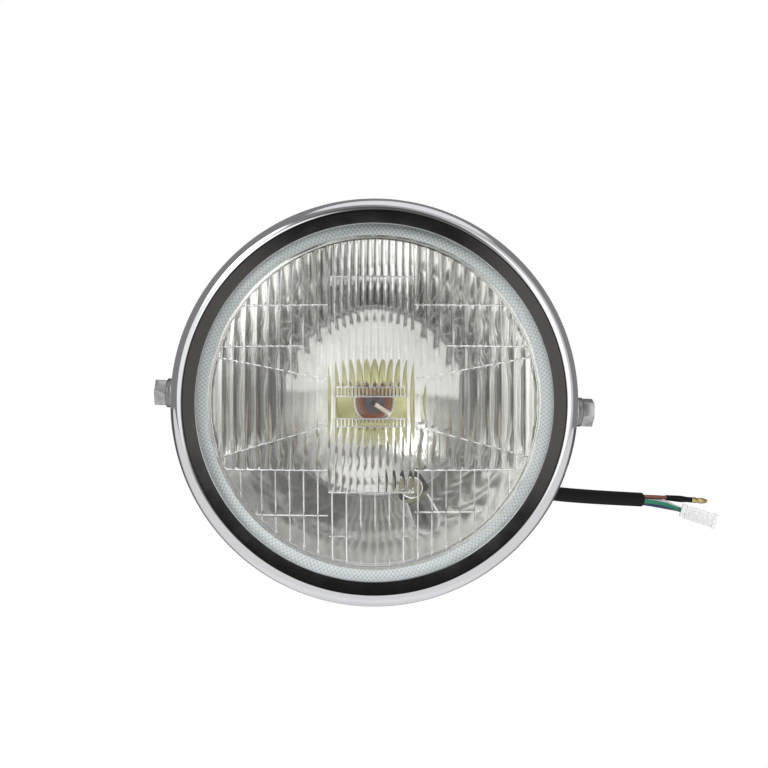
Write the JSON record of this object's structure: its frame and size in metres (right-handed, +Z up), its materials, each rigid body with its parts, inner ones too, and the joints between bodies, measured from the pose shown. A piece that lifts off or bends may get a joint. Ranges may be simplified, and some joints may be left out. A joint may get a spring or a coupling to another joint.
{
  "type": "round motorcycle headlight",
  "caption": "Round motorcycle headlight with chrome rim, fluted glass lens, parabolic reflector, bulb, pilot bulb, side bolts and a wiring lead with connectors.",
  "frame": {"origin": "where the line of the two side bolts crosses the lamp's axis", "axes": "+X along the side bolts towards the lead, -Y out of the lens, +Z up"},
  "size_m": [0.2914, 0.133, 0.1816],
  "materials": {
    "black_paint": "gloss black paint on pressed steel",
    "chrome": "bright chrome plate on pressed steel",
    "lens_glass": "clear moulded glass",
    "clear_glass": "clear blown glass",
    "mirror": "aluminised and lacquered steel",
    "black_rubber": "moulded black rubber",
    "grey_sealant": "pale grey sealing compound",
    "brown_cement": "baked brown cement",
    "yellow_zinc": "yellow passivated zinc on steel",
    "zinc": "bright zinc on steel",
    "spring_steel": "spring steel",
    "filament": "drawn filament wire",
    "brass": "bare brass",
    "black_plastic": "moulded black plastic",
    "black_vinyl": "soft black vinyl sleeve",
    "white_nylon": "natural white nylon",
    "brown_vinyl": "brown wire insulation",
    "green_vinyl": "green wire insulation",
    "blue_vinyl": "blue wire insulation",
    "white_vinyl": "white wire insulation"
  },
  "bodies": {
    "root": {"headlight_shell": "black_paint", "front_rim": "chrome", "lens": "lens_glass", "lens_gasket": "grey_sealant", "reflector": "mirror", "rim_clips": "spring_steel", "rim_hook": "zinc", "rim_screw": "zinc", "rim_nut": "zinc", "bulb_collar": "yellow_zinc", "bulb_base": "yellow_zinc", "bulb_glass": "clear_glass", "bulb_filament": "filament", "bulb_cement": "brown_cement", "bulb_insulator": "black_plastic", "bulb_blades": "brass", "bulb_clip": "spring_steel", "bulb_boot": "black_rubber", "bulb_socket": "black_plastic", "bulb_leads": "black_vinyl", "pilot_holder": "black_rubber", "pilot_base": "brass", "pilot_bulb": "clear_glass", "pilot_lead": "brown_vinyl", "side_collars": "zinc", "side_washers": "zinc", "side_spring_washers": "spring_steel", "side_bolts": "zinc", "weld_nuts": "zinc", "shell_grommet": "black_rubber", "harness_sleeve": "black_vinyl", "brown_wire": "brown_vinyl", "green_wire": "green_vinyl", "blue_wire": "blue_vinyl", "white_wire": "white_vinyl", "bullet_sleeve": "black_vinyl", "bullet_terminal": "brass", "connector_housing": "white_nylon", "connector_terminals": "brass"}
  },
  "joints": []
}
